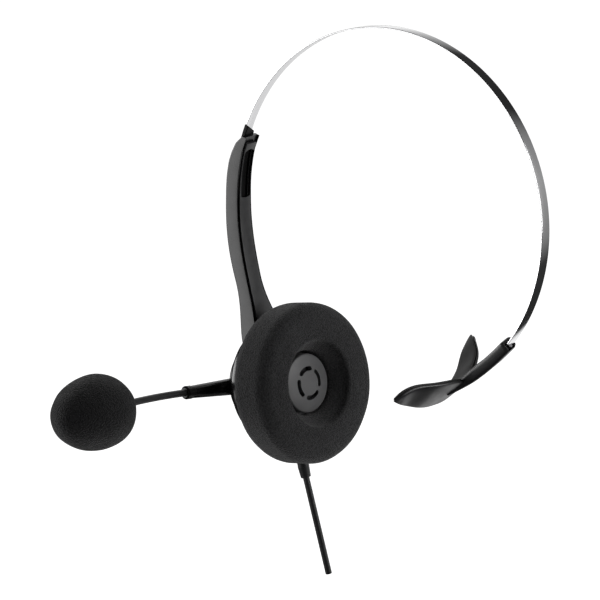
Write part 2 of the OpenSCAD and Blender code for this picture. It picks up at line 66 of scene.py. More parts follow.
# Headband: radius, width and thickness, then the angles of its two ends and its flex joint
BAND_R, BAND_W, BAND_T = 70, 5, 0.5
BAND_LOW, BAND_TOP, CROWN = -42, 165, 78
CUP = shift(-54.3, 0, -72.2) @ turn(-7.5, "Z") @ turn(82, "Y") @ turn(180, "Z")
BOOM = CUP @ shift(0, 0, -7) @ turn(-3.4, "Z") @ turn(-30, "Y")
CABLE = CUP @ shift(0, 0, 5.7) @ turn(190.4, "Z") @ turn(90, "Y")
TBAR = turn(38, "Y") @ shift(BAND_R, 0, 0) @ turn(103, "Y") @ turn(166.6, "X")
TUBE_START, BEND_R, BOOM_LEN = 40.8, 264, 46.6
CABLE_R = 1.25


def on_circle(r, angle):
    """A point in the XZ plane at this radius and angle, angles running from +X towards +Z."""
    return Vector((r * cos(radians(angle)), 0, r * sin(radians(angle))))


def boom_place(s):
    """The frame at arc length s on the boom tube, with +Y along it."""
    a = s / BEND_R
    along = shift(0, TUBE_START + BEND_R * sin(a), BEND_R * (1 - cos(a)))
    return BOOM @ along @ Matrix.Rotation(a, 4, "X")


def bezier(points, n):
    """n + 1 points on the cubic curve with these four control points."""
    out = []
    for i in range(n + 1):
        t = i / n
        s = 1 - t
        out.append(tuple(s**3 * a + 3 * s * s * t * b + 3 * s * t * t * c + t**3 * d
                         for a, b, c, d in zip(*points)))
    return out


def resample(points, n):
    """n points evenly spaced along a line of points."""
    points = [Vector(p) for p in points]
    at = [0]
    for a, b in zip(points, points[1:]):
        at.append(at[-1] + (b - a).length)
    out = []
    for i in range(n):
        d = at[-1] * i / (n - 1)
        k = min(max(bisect_right(at, d) - 1, 0), len(points) - 2)
        out.append(points[k].lerp(points[k + 1], (d - at[k]) / max(at[k + 1] - at[k], 1e-9)))
    return out


def in_plane(points):
    """Points of the XZ plane as vectors."""
    return [Vector((x, 0, z)) for x, z in points]


# ---------- Mesh building ----------

SHARP_ANGLE = 42      # edges that bend more than this many degrees stay crisp


def piece(name, verts, faces, place=None, uv=None):
    """A smooth-shaded mesh from millimetre points, given in the frame `place`."""
    place = place or Matrix()
    mesh = bpy.data.meshes.new(name)
    mesh.from_pydata([(place @ Vector(v)) * MM for v in verts], [], faces)
    if uv:
        layer = mesh.uv_layers.new(name="along")
        for loop in mesh.loops:
            layer.data[loop.index].uv = uv[loop.vertex_index]
    obj = bpy.data.objects.new(name, mesh)
    bpy.context.scene.collection.objects.link(obj)
    tidy_mesh(mesh)
    return obj


def tidy_mesh(mesh):
    """Welds doubled points, turns the faces outwards and shades the mesh smooth."""
    bm = bmesh.new()
    bm.from_mesh(mesh)
    bmesh.ops.remove_doubles(bm, verts=bm.verts, dist=1e-7)
    bmesh.ops.recalc_face_normals(bm, faces=bm.faces)
    bm.to_mesh(mesh)
    bm.free()
    mesh.shade_smooth()
    mesh.set_sharp_from_angle(angle=radians(SHARP_ANGLE))


def loft(rings, closed=False):
    """Joins rings of points into a skin. An open loft gets a cap at each end."""
    n = len(rings[0])
    verts = [v for ring in rings for v in ring]
    faces = []
    for i in range(len(rings) if closed else len(rings) - 1):
        for k in range(n):
            a, b = i * n + k, i * n + (k + 1) % n
            next_ring = ((i + 1) % len(rings)) * n
            faces.append((a, b, next_ring + (k + 1) % n, next_ring + k))
    if not closed:
        faces.append(tuple(range(n)))
        faces.append(tuple(range(len(rings) * n - 1, (len(rings) - 1) * n - 1, -1)))
    return verts, faces


def lathe(profile, steps=128, closed=False, lumps=None):
    """Turns a line of (radius, height) points about +Z. lumps(point) may push each point about."""
    rings = []
    turns = [2 * pi * k / steps for k in range(steps)]
    for r, z in profile:
        ring = [Vector((r * cos(a), r * sin(a), z)) for a in turns]
        rings.append([p + lumps(p) for p in ring] if lumps else ring)
    return loft(rings, closed)


def arc(x, z, r, a0, a1, n=8):
    """n + 1 points on an arc about (x, z), from a0 to a1 degrees."""
    angles = [radians(a0 + (a1 - a0) * i / n) for i in range(n + 1)]
    return [(x + r * cos(a), z + r * sin(a)) for a in angles]


def rounded_box(t, w, r, n=4):
    """A section (thickness, width) with rounded corners."""
    x, y = t / 2 - r, w / 2 - r
    corners = ((x, y, 0), (-x, y, 90), (-x, -y, 180), (x, -y, 270))
    return [p for cx, cy, a in corners for p in arc(cx, cy, r, a, a + 90, n)]


def tube(places, radii, steps=28):
    """A round skin along frames whose +Y follows the path."""
    turns = [2 * pi * k / steps for k in range(steps)]
    rings = []
    for place, r in zip(places, radii):
        rings.append([place @ Vector((r * cos(a), 0, r * sin(a))) for a in turns])
    return loft(rings)


def ring_block(name, r, a0, a1, t, w, corner=0.2, steps=60):
    """A stretch of a ring in the XZ plane with a rounded section."""
    rings = []
    for i in range(steps + 1):
        a = a0 + (a1 - a0) * i / steps
        rings.append([on_circle(r + x, a) + Vector((0, y, 0)) for x, y in rounded_box(t, w, corner)])
    return piece(name, *loft(rings))


def apply_modifiers(obj):
    """Makes the modified shape the object's own mesh."""
    graph = bpy.context.evaluated_depsgraph_get()
    mesh = bpy.data.meshes.new_from_object(obj.evaluated_get(graph))
    obj.modifiers.clear()
    obj.data = mesh


def cut(obj, *tools):
    """Takes the tools away from obj, then deletes them."""
    for tool in tools:
        m = obj.modifiers.new("cut", "BOOLEAN")
        m.operation = "DIFFERENCE"
        m.solver = "EXACT"
        m.object = tool
        bpy.context.view_layer.update()
        apply_modifiers(obj)
    for tool in tools:
        bpy.data.objects.remove(tool, do_unlink=True)
    tidy_mesh(obj.data)


def soften(obj, width, angle=35, segments=3):
    """Rounds an object's hard edges by this many millimetres."""
    m = obj.modifiers.new("soften", "BEVEL")
    m.width = width * MM
    m.segments = segments
    m.limit_method = "ANGLE"
    m.angle_limit = radians(angle)
    m.harden_normals = True


# ---------- Materials ----------

class Nodes:
    """A small helper for wiring a material."""

    def __init__(self, name):
        self.material = bpy.data.materials.new(name)
        self.material.use_nodes = True
        self.tree = self.material.node_tree
        self.shader = self.tree.nodes["Principled BSDF"]
        self.where = self.add("ShaderNodeTexCoord").outputs["Object"]

    def add(self, kind, **inputs):
        node = self.tree.nodes.new(kind)
        for key, value in inputs.items():
            self.put(node.inputs[key.replace("_", " ")], value)
        return node

    def put(self, socket, value):
        if isinstance(value, bpy.types.NodeSocket):
            self.tree.links.new(value, socket)
        else:
            socket.default_value = value

    def noise(self, scale, detail=4, where=None):
        node = self.add("ShaderNodeTexNoise", Vector=where or self.where, Scale=scale, Detail=detail)
        return node.outputs["Fac"]

    def spread(self, value, low, high, start=0.3, end=0.7):
        node = self.add("ShaderNodeMapRange", Value=value)
        for key, number in (("From Min", start), ("From Max", end), ("To Min", low), ("To Max", high)):
            node.inputs[key].default_value = number
        return node.outputs["Result"]

    def math(self, kind, a, b):
        node = self.tree.nodes.new("ShaderNodeMath")
        node.operation = kind
        self.put(node.inputs[0], a)
        self.put(node.inputs[1], b)
        return node.outputs[0]

    def tint(self, color, factor):
        """The colour times a factor that may vary over the surface."""
        node = self.tree.nodes.new("ShaderNodeVectorMath")
        node.operation = "SCALE"
        self.put(node.inputs[0], color)
        self.put(node.inputs["Scale"], factor)
        return node.outputs[0]

    def bump(self, height, distance, strength=1.0, after=None):
        node = self.add("ShaderNodeBump", Height=height, Distance=distance * MM, Strength=strength)
        if after:
            self.put(node.inputs["Normal"], after)
        return node.outputs["Normal"]

    def set(self, **inputs):
        for key, value in inputs.items():
            self.put(self.shader.inputs[key.replace("_", " ")], value)
        return self.material


def plastic(name, color, rough, grain=0.006, specular=0.5):
    """Moulded plastic: faint mottling, a fine mould grain, handling marks in the gloss."""
    n = Nodes(name)
    marks = n.noise(260, 8)
    wear = n.add("ShaderNodeNewGeometry").outputs["Pointiness"]
    edge = n.spread(wear, 0, 0.06, 0.52, 0.62)
    gloss = n.math("ADD", n.spread(marks, rough * 0.86, rough * 1.16), edge)
    normal = n.bump(n.noise(1400, 3), grain, 0.6, n.bump(n.noise(60, 2), 0.05, 0.25))
    return n.set(Base_Color=n.tint(color, n.spread(n.noise(90), 0.86, 1.14)), Roughness=gloss,
                 Normal=normal, Specular_IOR_Level=specular)


def metal(name, color, rough):
    """Plated metal with fine scratches."""
    n = Nodes(name)
    scratches = n.noise(900, 6)
    return n.set(Base_Color=n.tint(color, n.spread(n.noise(120), 0.92, 1.05)), Metallic=1.0,
                 Roughness=n.spread(scratches, rough * 0.8, rough * 1.3),
                 Normal=n.bump(scratches, 0.003, 0.5))


def band_metal():
    """Polished spring steel, brushed along its length."""
    n = Nodes("band_steel")
    along = n.tree.nodes.new("ShaderNodeUVMap")
    along.uv_map = "along"
    stretch = n.add("ShaderNodeMapping", Vector=along.outputs["UV"])
    stretch.inputs["Scale"].default_value = (900, 14, 1)
    lines = n.noise(1.0, 5, stretch.outputs["Vector"])
    return n.set(Base_Color=n.tint((0.86, 0.86, 0.87), n.spread(lines, 0.94, 1.02)), Metallic=1.0,
                 Roughness=n.spread(lines, 0.10, 0.17), Normal=n.bump(lines, 0.002, 0.35))


def rubber(name, color, rough, grain=0.012):
    """Soft rubber or cable jacket, a little dusty."""
    n = Nodes(name)
    dust = n.noise(180, 10)
    return n.set(Base_Color=n.tint(color, n.spread(dust, 0.8, 1.35)),
                 Roughness=n.spread(dust, rough * 0.92, rough * 1.1),
                 Normal=n.bump(n.noise(900, 4), grain, 0.7), Sheen_Weight=0.05, Specular_IOR_Level=0.35)


def foam(name, color, pore=0.55, depth=0.22):
    """Open-cell foam: small pores with soft edges and painted shade in them, broader mottling and a
    faint sheen.
    """
    n = Nodes(name)
    # The pores' places are pushed about, so that they don't look like a grid
    push = n.add("ShaderNodeTexNoise", Vector=n.where, Scale=900.0).outputs["Color"]
    bent = n.add("ShaderNodeVectorMath")
    n.put(bent.inputs[0], n.where)
    n.put(bent.inputs[1], n.tint(push, 0.0006))
    voronoi = n.add("ShaderNodeTexVoronoi", Vector=bent.outputs[0], Scale=1 / (pore * MM))
    cells = voronoi.outputs["Distance"]
    fibres = n.noise(3200, 3)
    height = n.math("ADD", n.spread(cells, 0, 1, 0.1, 0.75), n.math("MULTIPLY", fibres, 0.6))
    # Painted shade: the colour is darkened where the pores sink in. The slow noise over it is mottling.
    shade = n.math("MULTIPLY", n.spread(cells, 1.30, 0.62, 0.15, 0.8),
                   n.spread(n.noise(140, 6), 0.9, 1.12))
    normal = n.bump(n.math("MULTIPLY", height, -1.0), depth, 0.9, n.bump(n.noise(90, 3), 0.5, 0.25))
    return n.set(Base_Color=n.tint(color, shade), Roughness=0.95, Specular_IOR_Level=0.12, Normal=normal,
                 Sheen_Weight=0.2, Sheen_Roughness=0.5)


def cloth(name, color):
    """Woven acoustic cloth."""
    n = Nodes(name)
    weave = n.add("ShaderNodeTexVoronoi", Vector=n.where, Scale=3000.0).outputs["Distance"]
    return n.set(Base_Color=n.tint(color, n.spread(weave, 1.2, 0.5, 0.1, 0.7)), Roughness=0.9,
                 Normal=n.bump(weave, 0.05, 0.8))


LOOKS = {
    "band_steel": band_metal(),
    "bright_steel": metal("bright_steel", (0.62, 0.62, 0.64), 0.28),
    "magnet_steel": metal("magnet_steel", (0.42, 0.42, 0.43), 0.35),
    "gloss_black": plastic("gloss_black", (0.005, 0.005, 0.0055), 0.24, grain=0.003),
    "satin_black": plastic("satin_black", (0.016, 0.016, 0.017), 0.36, grain=0.010),
    "grille_grey": plastic("grille_grey", (0.088, 0.088, 0.090), 0.42, grain=0.014),
    "soft_rubber": rubber("soft_rubber", (0.016, 0.016, 0.016), 0.60),
    "cable_pvc": rubber("cable_pvc", (0.013, 0.013, 0.014), 0.36, grain=0.006),
    "foam": foam("foam", (0.030, 0.030, 0.031)),
    "mesh_cloth": cloth("mesh_cloth", (0.012, 0.012, 0.012)),
    "film": plastic("film", (0.60, 0.60, 0.56), 0.30, grain=0.002),
    "board": plastic("board", (0.05, 0.18, 0.08), 0.40, grain=0.006),
    "copper": metal("copper", (0.72, 0.40, 0.22), 0.30),
}
# A darker, duller copy of the gloss black: painted shade on the tongue, which lies in the arm's channel
# and fills the window.
SHADED_BLACK = plastic("shaded_black", (0.003, 0.003, 0.003), 0.42, grain=0.006, specular=0.12)
MIC_FOAM = foam("mic_foam", (0.009, 0.009, 0.0095), pore=0.6, depth=0.28)


def dress(obj, look, body=None, stands_for=(), material=None):
    """Finishes a new piece: its material and slot, the CAD nodes it replaces and its body."""
    obj.data.materials.clear()
    obj.data.materials.append(material or LOOKS[look])
    if stands_for:
        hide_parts(*stands_for)
    if body:
        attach(obj, body)
    return obj


# ---------- Headband ----------

def build_band():
    """One spring-steel strip, bending across the crown."""
    rings, uv = [], []
    steps = 300
    section = rounded_box(BAND_T, BAND_W, 0.2, 3)
    for i in range(steps + 1):
        a = BAND_LOW + (BAND_TOP - BAND_LOW) * i / steps
        rings.append([on_circle(BAND_R + x, a) + Vector((0, y, 0)) for x, y in section])
        uv += [(y / 100, radians(a) * BAND_R / 100) for x, y in section]
    band = piece("band_strip", *loft(rings), uv=uv)
    dress(band, "band_steel", stands_for=("band_ear_half", "band_tip_half"))
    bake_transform(band)


TONGUE_R, TONGUE_T, TONGUE_W = BAND_R - 0.35, 1.7, 5.6
TONGUE_TOP, TONGUE_END, TONGUE_SLANT = 159.0, 187.5, 1.3


def build_tongue():
    """The sliding tongue. Its top end is cut at a slant."""
    rings = []
    steps = 70
    for i in range(steps + 1):
        ring = []
        for x, y in rounded_box(TONGUE_T, TONGUE_W, 0.35):
            top = TONGUE_TOP + TONGUE_SLANT * y / (TONGUE_W / 2)
            angle = top + (TONGUE_END - top) * i / steps
            ring.append(on_circle(TONGUE_R + x, angle) + Vector((0, y, 0)))
        rings.append(ring)
    tongue = piece("slider_tongue_smooth", *loft(rings))
    cut(tongue, ring_block("spring_seat", TONGUE_R + TONGUE_T / 2, 174, 184, 0.7, 3.2, 0.05))
    soften(tongue, 0.15)
    # The tongue is gloss black; the darker, duller copy on it is painted shade.
    dress(tongue, "gloss_black", "headband_ear", ("slider_tongue",), SHADED_BLACK)


# ---------- Arm ----------

ARM_IN, ARM_OUT, ARM_TOP = BAND_R - 3, BAND_R + 3, 161.3
SLIDE_ROOM = 0.2      # the channel is this much larger than the tongue
WINDOW_TOP, WINDOW_END, WINDOW_HALF = 165.6, 181.8, 2.9


def arm_lines(n):
    """The arm's inner and outer side lines from the top down, as matching points."""
    inner = [on_circle(ARM_IN - 0.5, ARM_TOP)]
    inner += [on_circle(ARM_IN, 166 + 15 * i / 12) for i in range(13)]
    inner += in_plane(bezier([(-67, -4), (-66.8, -20), (-62.2, -33), (-59.6, -44.5)], 14))
    inner += in_plane([(-58.8, -49), (-57.8, -56), (-57.4, -62)])
    # At the top the outer line leans in towards the tongue
    leaning = ((3.8, ARM_TOP), (1.7, 164.2), (0.7, 167.4), (0.1, 170.6))
    outer = [on_circle(ARM_OUT - inset, angle) for inset, angle in leaning]
    outer += [on_circle(ARM_OUT, 174 + 7 * i / 6) for i in range(7)]
    outer += in_plane(bezier([(-73, -2), (-73.1, -14), (-71.9, -22.5), (-68.4, -33.6)], 12))
    outer += in_plane(bezier([(-67.9, -35.3), (-65.4, -44), (-66.6, -53), (-65, -58)], 10))
    outer += in_plane([(-62, -62)])
    return resample(inner, n), resample(outer, n)


def arm_half_width(z, rear):
    """Half the arm's width at a height. The rear side flares towards the ear cup."""
    if rear:
        widening = 0.3 * min(max((10 - z) / 40, 0), 1)
        flare = 0.022 * max(-32 - z, 0) ** 1.95
        return 4.3 + widening + flare
    # Distance down, then half width, from the top down
    line = bezier([(62, 4.9), (30, 4.9), (22, 5.3), (-10, 4.4)], 40)[::-1]
    for (d0, w0), (d1, w1) in zip(line, line[1:]):
        if -z <= d1:
            return w0 + (w1 - w0) * min(max((-z - d0) / (d1 - d0), 0), 1)
    return line[-1][1]


def shell_section(t, rear, front):
    """A channel with rounded outer corners: (distance out, distance across) points."""
    r = min(0.6, t * 0.3)
    lip, depth, edge = 0.3, 1.3, 0.12
    out = []
    for half, way in ((rear, 1), (front, -1)):
        side = [(depth, half - lip), (0.6, half - lip), (0.5, half - lip + 0.1)]
        side += arc(0.5 + edge, half - edge, edge, 180, 90, 3)
        side += arc(t - r, half - r, r, 90, 0, 7)
        out += [(x, y * way) for x, y in (side if way > 0 else reversed(side))]
    return out


def cover_section(t, rear, front):
    """The inner cover's section, let into the shell between its two rims."""
    rim = 1.15
    middle, width = (rear - front) / 2, rear + front - 2 * rim
    return [(x + 0.5, y + middle) for x, y in rounded_box(1.0, width, 0.25, 3)]


ARM_STATIONS = 110


def arm_skin(section, first=0, last=ARM_STATIONS):
    """A skin along the arm, with a section drawn at each station from first to last."""
    rings = []
    inner, outer = arm_lines(ARM_STATIONS)
    for a, b in zip(inner, outer):
        out = (b - a).normalized()
        outline = section((b - a).length, arm_half_width(a.z, True), arm_half_width(a.z, False))
        rings.append([a + out * x + Vector((0, y, 0)) for x, y in outline])
    return loft(rings[first:last])


def window(name, depth):
    """The opening in the inner cover, with round ends."""
    rings = []
    for x in (-1.5, depth):
        ring = []
        for end, first, bulge in ((WINDOW_TOP, -90, 0.9), (WINDOW_END, 90, -0.5)):
            for i in range(13):
                a = radians(first + 180 * i / 12)
                ring.append(on_circle(ARM_IN + x, end + bulge - bulge * cos(a) ** 2)
                            + Vector((0, WINDOW_HALF * sin(a) + 0.15, 0)))
        rings.append(ring)
    return piece(name, *loft(rings))


def build_arm():
    """The shell with its slide channel, window and back plate, and the cover on its inner side."""
    shell = piece("arm_shell_smooth", *arm_skin(shell_section))
    channel = ring_block("channel", TONGUE_R, 157, 191, TONGUE_T + SLIDE_ROOM, TONGUE_W + SLIDE_ROOM)
    cut(shell, channel, window("shell_window", 2.6))
    join_meshes(shell, back_plate())
    soften(shell, 0.12, 50, 2)
    dress(shell, "gloss_black", "ear_cup", ("arm_outer_shell",))
    cover = piece("arm_cover_smooth", *arm_skin(cover_section, first=3, last=104))
    cut(cover, window("cover_window", 3))
    soften(cover, 0.15, 50, 2)
    dress(cover, "satin_black", "ear_cup", ("arm_inner_cover",))


def back_plate():
    """The round plate that the arm's foot spreads into, with the pivot's spigot."""
    bore, spigot, plate = 1.05, 5, 15.6
    profile = [(bore, -9), (spigot - 0.2, -9), (spigot, -8.8), (spigot, -4.2),
               (plate - 0.3, -4.2), (plate, -3.9), (plate, -2.6), (bore, -2.6)]
    return piece("back_plate", *lathe(profile, 96, closed=True), place=CUP)


def join_meshes(obj, other):
    """Adds the other object's mesh to obj, then deletes the other object."""
    bm = bmesh.new()
    bm.from_mesh(obj.data)
    bm.from_mesh(other.data)
    bm.to_mesh(obj.data)
    bm.free()
    bpy.data.objects.remove(other, do_unlink=True)


# ---------- Ear cup ----------

def foam_lumps(size, reach, seed):
    """Slow unevenness, as in cut and stretched foam. The seed makes it the same in every run."""
    noise.seed_set(seed)
    offset = Vector((seed, 2 * seed, 3 * seed))
    return lambda p: noise.noise_vector(p * size + offset) * reach


def build_cushion():
    """The foam ring, a little crowned, with a rounded rim and a hole that narrows to the grille."""
    profile = arc(25.1, 11.2, 5.2, -90, 0, 14) + arc(25.1, 19.2, 5.4, 0, 86, 14)
    profile += [(25.2 - 7.5 * i / 12, 24.55 + 0.25 * sin(pi * i / 12)) for i in range(1, 12)]
    profile += arc(17.7, 23.1, 1.4, 88, 165, 10)
    profile += [(16.2 - 3.8 * (i / 8) ** 0.9, 22.3 - 4.9 * i / 8) for i in range(1, 9)]
    profile += [(12.4, 12.3), (22.5, 12.3), (22.5, 6.2), (22.9, 6)]
    skin = lathe(profile, 200, closed=True, lumps=foam_lumps(0.09, 0.22, 3))
    cushion = piece("cushion_foam", *skin, place=CUP)
    dress(cushion, "foam", "ear_cup", ("ear_cushion",))


SLOT_IN, SLOT_OUT, SLOT_REACH = 4.7, 6.4, 28


def slot_outline():
    """A curved slot with round ends, as (radius, offset, angle) points about its middle."""
    middle, half = (SLOT_IN + SLOT_OUT) / 2, (SLOT_OUT - SLOT_IN) / 2
    swing = [-SLOT_REACH + 2 * SLOT_REACH * i / 16 for i in range(17)]
    turns = [pi * i / 8 for i in range(1, 8)]
    points = [(SLOT_OUT, 0, a) for a in swing]
    points += [(middle + half * cos(a), half * sin(a), SLOT_REACH) for a in turns]
    points += [(SLOT_IN, 0, -a) for a in swing]
    points += [(middle - half * cos(a), -half * sin(a), -SLOT_REACH) for a in turns]
    return points


def build_grille():
    """The nose in the cushion's hole: a low dome with four curved, round-ended slots."""
    profile = [(9.7, 10.5), (15.6, 10.5), (15.6, 11.6), (11.2, 11.6), (11.2, 17.2)]
    profile += arc(10.5, 17.4, 0.7, 0, 78, 6)
    profile += [(10.5 * (1 - i / 8), 18.12 + 1.25 * (1 - (1 - i / 8) ** 2)) for i in range(1, 8)]
    profile += [(0, 19.37), (0, 17.9), (9.7, 16.7)]
    cap = piece("grille_cap_smooth", *lathe(profile, 144, closed=True), place=CUP)
    slots = []
    for middle in range(15, 360, 90):
        rings = [[turn(middle + angle, "Z") @ Vector((r, y, z)) for r, y, angle in slot_outline()]
                 for z in (16, 21)]
        slots.append(piece("slot", *loft(rings), place=CUP))
    cut(cap, *slots)
    soften(cap, 0.14, 40, 2)
    dress(cap, "grille_grey", "ear_cup", ("grille_cap",))


def build_windscreen():
    """The egg-shaped foam ball, with the opening that the boom enters by."""
    length, width, steps = 37.6, 14.7, 60
    profile = [(2.0, 7), (1.9, 0.8), (2.2, 0.25)]
    for i in range(1, steps + 1):
        a = pi * i / steps
        z = (1 - cos(a)) / 2
        r = width * sin(a) * (1 + 0.16 * (1 - 2 * z) - 0.04 * sin(a))
        # The first few points would lie inside the opening
        if r > 2.6 or i > steps / 2:
            profile.append((max(r, 0), length * z))
    place = boom_place(BOOM_LEN - 9.7) @ turn(-90, "X")
    ball = piece("windscreen_foam", *lathe(profile, 160, lumps=foam_lumps(0.12, 0.28, 7)), place=place)
    dress(ball, "foam", "microphone", ("windscreen",), MIC_FOAM)


# ---------- Boom and cable ----------

# Arc lengths on the tube at either side of its flex joint, and the tube's straight length inside the
# boot
BEND_FROM, BEND_TO, IN_BOOT = 5, 29, 22.8


def build_boom():
    """The flexible tube and the wire inside it, each in one piece across the flex joint."""
    stations = [-IN_BOOT + IN_BOOT * i / 5 for i in range(5)]
    stations += [(BOOM_LEN + 0.5) * i / 90 for i in range(91)]
    places = [boom_place(s) if s >= 0 else BOOM @ shift(0, TUBE_START + s, 0) for s in stations]
    for name, r, look, nodes in (
            ("boom_sleeve", 1.35, "cable_pvc", ("boom_tube_root", "boom_tube_tip")),
            ("gooseneck_wire", 0.6, "copper", ("gooseneck_wire_root", "gooseneck_wire_tip"))):
        obj = dress(piece(name, *tube(places, [r] * len(places))), look, stands_for=nodes)
        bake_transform(obj)


def build_cable():
    """The cable's jacket, cut square at the end with the cores showing."""
    heights = [15 + 61.2 * i / 80 for i in range(81)]
    radii = [CABLE_R] * len(heights)
    # The cut end: a rounded edge, then a dish that leaves the cores in view
    heights += [76.45, 76.6, 76.6, 76.3, 76.2]
    radii += [CABLE_R, 1.12, 0.98, 0.94, 0.001]
    places = [CABLE @ shift(0, 0, z) @ turn(90, "X") for z in heights]
    jacket = dress(piece("cable_jacket_skin", *tube(places, radii)), "cable_pvc",
                   stands_for=("cable_root", "cable_tail"))
    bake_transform(jacket)


# ---------- T-bar ----------

# Each wing is given at stations across it: its edges' distance down the neck, its height and its
# slope. A fitting script searched for these against the photo's outline. The upper edge is the
# search's rounded result, and the other three rows are that result with some values changed.
ACROSS = (0, 9, 17, 25, 30, 33.5)
UPPER_EDGE = (25.9, 25.2, 26.2, 29.0, 31.8, 35.2)
LOWER_EDGE = (40.8, 41.0, 39.8, 38.5, 36.8, 35.4)
RISE = (0, 1.9, 4.5, 8.5, 10.1, 10.8)
LEAN = (0, 0.05, 0.12, 0.22, 0.28, 0.2)
HALF_SPAN = ACROSS[-1]


def through(values, y):
    """A smooth line through the values at the stations across the T-bar, level at its middle."""
    y = min(abs(y), HALF_SPAN)
    k = min(max(bisect_right(ACROSS, y) - 1, 0), len(ACROSS) - 2)

    def slope(i):
        if i == 0:
            return 0
        j = min(i + 1, len(ACROSS) - 1)
        return (values[j] - values[i - 1]) / (ACROSS[j] - ACROSS[i - 1])

    step = ACROSS[k + 1] - ACROSS[k]
    t = (y - ACROSS[k]) / step
    return (values[k] * (1 + 2 * t) * (1 - t) ** 2 + step * slope(k) * t * (1 - t) ** 2
            + values[k + 1] * t * t * (3 - 2 * t) + step * slope(k + 1) * t * t * (t - 1))


def wing_skin(low, high, inset, steps=140):
    """A leaf-shaped plate that curves round the head, between two heights, with rounded edges."""
    rings = []
    for i in range(steps + 1):
        y = (HALF_SPAN - inset) * sin(pi * (i / steps - 0.5))
        x0 = through(UPPER_EDGE, y) + inset
        x1 = through(LOWER_EDGE, y) - inset
        middle, half = (x0 + x1) / 2, max((x1 - x0) / 2, 0.05)
        taper = min(1, sqrt(max(1 - (abs(y) / HALF_SPAN) ** 8, 0)) + 0.2)
        rise, lean = through(RISE, y), through(LEAN, y)
        ring = []
        for k in range(36):
            a = 2 * pi * k / 36
            c, s = cos(a), sin(a)
            x = half * sqrt(abs(c)) * (1 if c > 0 else -1)
            z = (high - low) / 2 * sqrt(abs(s)) * (1 if s > 0 else -1)
            ring.append(Vector((middle + x, y, rise - lean * x + ((low + high) / 2 + z) * taper)))
        rings.append(ring)
    return loft(rings)


NECK_W, NECK_T, NECK_R = 7.6, 4.7, 114
NECK_MID, NECK_OUT = 15, 0.7


def neck_skin(steps=60):
    """The neck, on its own slow curve. It flattens and widens into the wings."""
    start, length, rounded_end = 1.4, 31.6, 0.03
    rings = []
    for i in range(steps + 1):
        q = i / steps
        x = start + length * q
        flare = max((x - 20) / 13, 0)
        half = NECK_W / 2 + 3.2 * flare * flare
        thick = NECK_T * (1 - 0.7 * flare ** 1.5)
        if q < rounded_end:
            half -= 0.35 * (1 - q / rounded_end)
            thick -= 0.7 * (1 - q / rounded_end)
        out_by = NECK_R - NECK_OUT - sqrt(NECK_R * NECK_R - (x - NECK_MID) ** 2) - 0.7 * flare
        section = rounded_box(thick, 2 * half, min(1.3, thick * 0.45), 6)
        rings.append([Vector((x, y, out_by + z)) for z, y in section])
    return loft(rings)


def build_tbar():
    """The glossy shell with its neck and wings, and the rubber pad on the head's side."""
    shell = piece("tbar_shell_smooth", *wing_skin(-1.3, 0.3, 0), place=TBAR)
    neck = piece("neck", *neck_skin(), place=TBAR)
    mouth_rings = [[Vector((x, y, z)) for z, y in rounded_box(3.2, 5.8, 0.3)] for x in (-4, 5.7)]
    cut(neck, piece("mouth", *loft(mouth_rings), place=TBAR @ shift(0, 0, -0.5)))
    join_meshes(shell, neck)
    dress(shell, "satin_black", "tbar", ("tbar_shell",))
    pad = piece("tbar_pad_smooth", *wing_skin(0.1, 1.35, 0.45), place=TBAR)
    dress(pad, "soft_rubber", "tbar", ("tbar_pad",))


# ---------- The rest of the CAD nodes keep their shape ----------

SOFT_EDGES = {
    "boom_hub": 0.25, "hub_cap": 0.2, "boom_boot": 0.3, "boot_collar": 0.25,
    "cable_relief": 0.2, "speaker_housing": 0.3, "mic_housing": 0.2, "tbar_stem": 0.1,
    "hub_retainer": 0.05, "speaker_magnet": 0.1, "baffle": 0.1, "speaker_frame": 0.1,
}


def dress_cad_nodes():
    """Gives each CAD node its material, and rounds the edges of those that show."""
    slots = {s["node"]: s["material_slot"] for s in frame["record"]["subparts"]}
    for node, obj in frame["nodes"].items():
        if obj.hide_render:
            continue
        for place in obj.material_slots:
            place.link = "OBJECT"
            place.material = LOOKS[slots[node]]
        if node in SOFT_EDGES:
            soften(obj, SOFT_EDGES[node], 40, 2)


build_band()
build_tongue()
build_arm()
build_cushion()
build_grille()
build_windscreen()
build_boom()
build_cable()
build_tbar()
dress_cad_nodes()


# ---------- Stage, light and camera ----------

def glow_material(name):
    """A material that only glows, in the colour linked to its Emission node."""
    material = bpy.data.materials.new(name)
    material.use_nodes = True
    tree = material.node_tree
    tree.nodes.clear()
    out = tree.nodes.new("ShaderNodeOutputMaterial")
    glow = tree.nodes.new("ShaderNodeEmission")
    tree.links.new(glow.outputs[0], out.inputs["Surface"])
    return material


FLOOR_Z, FLOOR_HALF = -158, 6000


def build_floor():
    """A plain floor that the camera sees as white."""
    signs = ((-1, -1), (1, -1), (1, 1), (-1, 1))
    corners = [(x * FLOOR_HALF, y * FLOOR_HALF, FLOOR_Z) for x, y in signs]
    floor = piece("floor", corners, [(0, 1, 2, 3)])
    n = Nodes("floor")
    seen = n.add("ShaderNodeLightPath").outputs["Is Camera Ray"]
    material = n.set(Base_Color=(0.5, 0.5, 0.5, 1), Roughness=0.8, Specular_IOR_Level=0.1,
                     Normal=n.bump(n.noise(300, 3), 0.05, 0.2), Emission_Color=(1, 1, 1, 1),
                     Emission_Strength=n.spread(seen, 0.05, 1.05, 0, 1))
    floor.data.materials.append(material)
    # The side softbox reaches below the floor, so the floor lets its light through
    floor.visible_shadow = False
    floor.visible_glossy = False


# The reflector's brightness by angle from +X towards +Z, in degrees
REFLECTOR = ((-180, 0.75), (-120, 0.75), (-72, 1.0), (-64, 1.0), (-59, 0.02),
             (-24, 0.03), (-12, 0.22), (14, 0.34), (36, 0.22), (50, 0.02),
             (88, 0.03), (108, 0.5), (126, 1.0), (165, 0.8), (180, 0.75))


